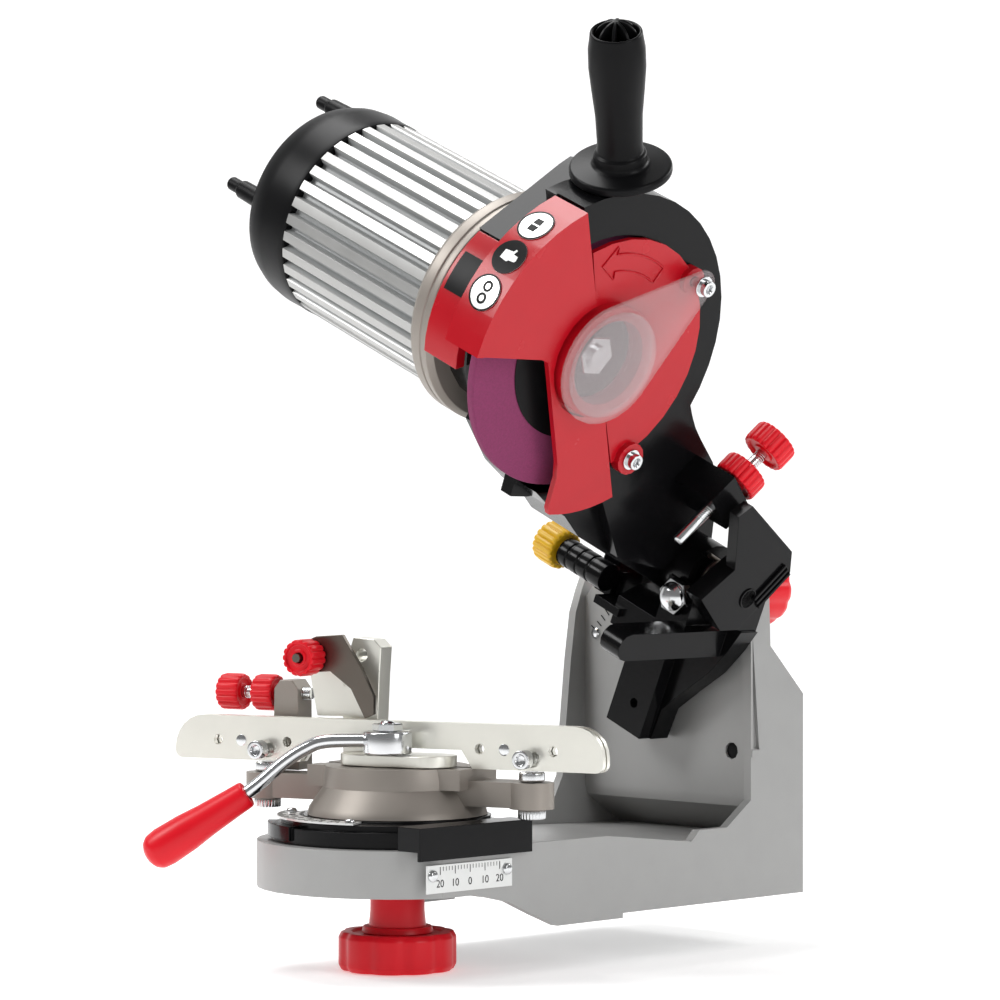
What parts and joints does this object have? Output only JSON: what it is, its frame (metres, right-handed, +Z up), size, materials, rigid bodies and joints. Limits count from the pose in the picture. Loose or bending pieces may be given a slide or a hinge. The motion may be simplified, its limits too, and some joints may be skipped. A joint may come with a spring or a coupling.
{
  "type": "saw chain grinder",
  "caption": "Bench-mounted electric saw chain grinder with a tilting swing-down motor head, guarded abrasive wheel, swivelling chain vise and cam lever.",
  "frame": {"origin": "centre of the base's mounting face, on the bench top, midway between its side plates and under the tilt axis", "axes": "+Z up out of the bench; +Y to the back, where the column stands; the operator stands at -Y; +X to the operator's right, the motor is on the -X side"},
  "size_m": [0.3021, 0.344, 0.4624],
  "materials": {
    "base_paint": "satin silver-grey powder coat over cast aluminium",
    "black_paint": "gloss black enamel over castings",
    "red_paint": "gloss red enamel",
    "red_plastic": "satin red moulded plastic, fluted on the knobs",
    "yellow_plastic": "satin yellow moulded plastic",
    "black_plastic": "semi-gloss black moulded plastic",
    "bright_steel": "bright plated steel",
    "spring_steel": "oiled spring steel",
    "zinc_plate": "zinc plate with a faint yellow cast",
    "raw_casting": "raw die casting, bead blasted",
    "motor_aluminium": "bright extruded aluminium lands, dull grooves",
    "motor_iron": "laminated steel, unpainted",
    "scale_plate": "brushed aluminium strip with engraved ticks",
    "abrasive": "purple vitrified abrasive grit",
    "clear_plastic": "frosted clear polycarbonate"
  },
  "bodies": {
    "base": {"base_casting": "base_paint", "slide_scale_plate": "scale_plate", "scale_screw_front": "bright_steel", "scale_screw_rear": "bright_steel"},
    "saddle": {"saddle": "black_paint", "angle_scale_plate": "scale_plate", "angle_scale_screw_left": "bright_steel", "angle_scale_screw_right": "bright_steel", "vise_stud": "bright_steel"},
    "vise_lock_knob": {"vise_lock_knob": "red_plastic"},
    "vise": {"turntable": "raw_casting", "front_rail": "zinc_plate", "rear_rail": "zinc_plate", "rail_screw_left": "bright_steel", "rail_screw_right": "bright_steel", "cam_washer": "zinc_plate", "cam_nut": "bright_steel", "stop_block": "raw_casting", "stop_carrier": "zinc_plate", "pawl_stud": "black_paint"},
    "cam_lever": {"cam_lever": "bright_steel", "lever_grip": "red_plastic"},
    "level_screw_left": {"level_screw_left": "bright_steel"},
    "level_screw_right": {"level_screw_right": "bright_steel"},
    "stop_screw": {"stop_screw": "red_plastic"},
    "stop_lock_knob": {"stop_lock_knob": "red_plastic"},
    "stop_pawl": {"stop_pawl": "black_paint"},
    "pawl_knob": {"pawl_knob": "red_plastic"},
    "bracket": {"tilt_bracket": "black_paint", "tilt_pivot_bolt": "bright_steel", "tilt_lock_stud": "bright_steel", "hinge_pin": "bright_steel", "adjuster_barrel": "black_paint", "bracket_bolt": "bright_steel", "lift_spring_left": "spring_steel", "lift_spring_right": "spring_steel"},
    "tilt_lock_knob": {"tilt_lock_knob": "red_plastic"},
    "adjuster_knob": {"adjuster_knob": "yellow_plastic"},
    "head": {"arm_casting": "black_paint", "front_guard": "red_paint", "side_cover": "red_paint", "lens_cover": "clear_plastic", "cover_screw_upper": "bright_steel", "cover_screw_lower": "bright_steel", "rear_guard": "red_paint", "motor_shell": "motor_aluminium", "motor_flange": "base_paint", "stator": "motor_iron", "motor_cap": "black_plastic", "handle_grip": "black_plastic", "handle_stud": "black_paint", "depth_stop_lock_knob": "red_plastic"},
    "spindle": {"spindle": "bright_steel", "grinding_wheel": "abrasive", "wheel_flange": "black_paint", "wheel_nut": "bright_steel", "rotor": "motor_iron"},
    "depth_stop_screw": {"depth_stop_screw": "red_plastic"}
  },
  "joints": [
    {"name": "saddle_slide", "type": "slide", "parent": "base", "child": "saddle", "axis": [0, 1, 0], "range_m": [-0.02, 0.02]},
    {"name": "vise_lock_turn", "type": "hinge", "parent": "saddle", "child": "vise_lock_knob", "pos_m": [0, -0.165, 0], "axis": [0, 0, 1], "range_deg": [-180, 180]},
    {"name": "vise_swivel", "type": "hinge", "parent": "saddle", "child": "vise", "pos_m": [0, -0.165, 0.06], "axis": [0, 0, 1], "range_deg": [-53, 17]},
    {"name": "cam_lever_turn", "type": "hinge", "parent": "vise", "child": "cam_lever", "pos_m": [0.00827, -0.17945, 0.088], "axis": [0, 0, 1], "range_deg": [-15, 75]},
    {"name": "level_screw_left_turn", "type": "hinge", "parent": "vise", "child": "level_screw_left", "pos_m": [-0.07133, -0.18818, 0.06], "axis": [0, 0, 1], "range_deg": [-180, 180]},
    {"name": "level_screw_right_turn", "type": "hinge", "parent": "vise", "child": "level_screw_right", "pos_m": [0.07133, -0.14182, 0.06], "axis": [0, 0, 1], "range_deg": [-180, 180]},
    {"name": "stop_screw_travel", "type": "slide", "parent": "vise", "child": "stop_screw", "axis": [0.9511, 0.309, 0], "range_m": [-0.008, 0.0007]},
    {"name": "stop_lock_turn", "type": "hinge", "parent": "stop_screw", "child": "stop_lock_knob", "pos_m": [-0.08421, -0.17764, 0.1095], "axis": [0.9511, 0.309, 0], "range_deg": [-180, 180]},
    {"name": "stop_pawl_flip", "type": "hinge", "parent": "vise", "child": "stop_pawl", "pos_m": [-0.04622, -0.18002, 0.129], "axis": [-0.309, 0.9511, 0], "range_deg": [-35, 0]},
    {"name": "pawl_knob_turn", "type": "hinge", "parent": "vise", "child": "pawl_knob", "pos_m": [-0.04375, -0.18763, 0.129], "axis": [-0.309, 0.9511, 0], "range_deg": [-180, 180]},
    {"name": "bracket_tilt", "type": "hinge", "parent": "base", "child": "bracket", "pos_m": [0, 0, 0.1], "axis": [0, 1, 0], "range_deg": [-23.6, 21.4]},
    {"name": "tilt_lock_turn", "type": "hinge", "parent": "bracket", "child": "tilt_lock_knob", "pos_m": [0.02602, 0.06, 0.15956], "axis": [0, 1, 0], "range_deg": [-180, 180]},
    {"name": "adjuster_turn", "type": "hinge", "parent": "bracket", "child": "adjuster_knob", "pos_m": [-0.05782, -0.004, 0.18746], "axis": [0.9164, 0, -0.4003], "range_deg": [-180, 180]},
    {"name": "head_swing", "type": "hinge", "parent": "bracket", "child": "head", "pos_m": [0.03363, 0.007, 0.17697], "axis": [0.9164, 0, -0.4003], "range_deg": [0, 33], "stiffness_Nm_per_rad": 5, "springref_deg": -171.89},
    {"name": "spindle_turn", "type": "hinge", "parent": "head", "child": "spindle", "pos_m": [0.07991, -0.1149, 0.28291], "axis": [0.9164, 0, -0.4003], "continuous": true},
    {"name": "depth_stop_travel", "type": "slide", "parent": "head", "child": "depth_stop_screw", "axis": [0.2989, 0.6652, 0.6842], "range_m": [-0.0012, 0.01]}
  ]
}
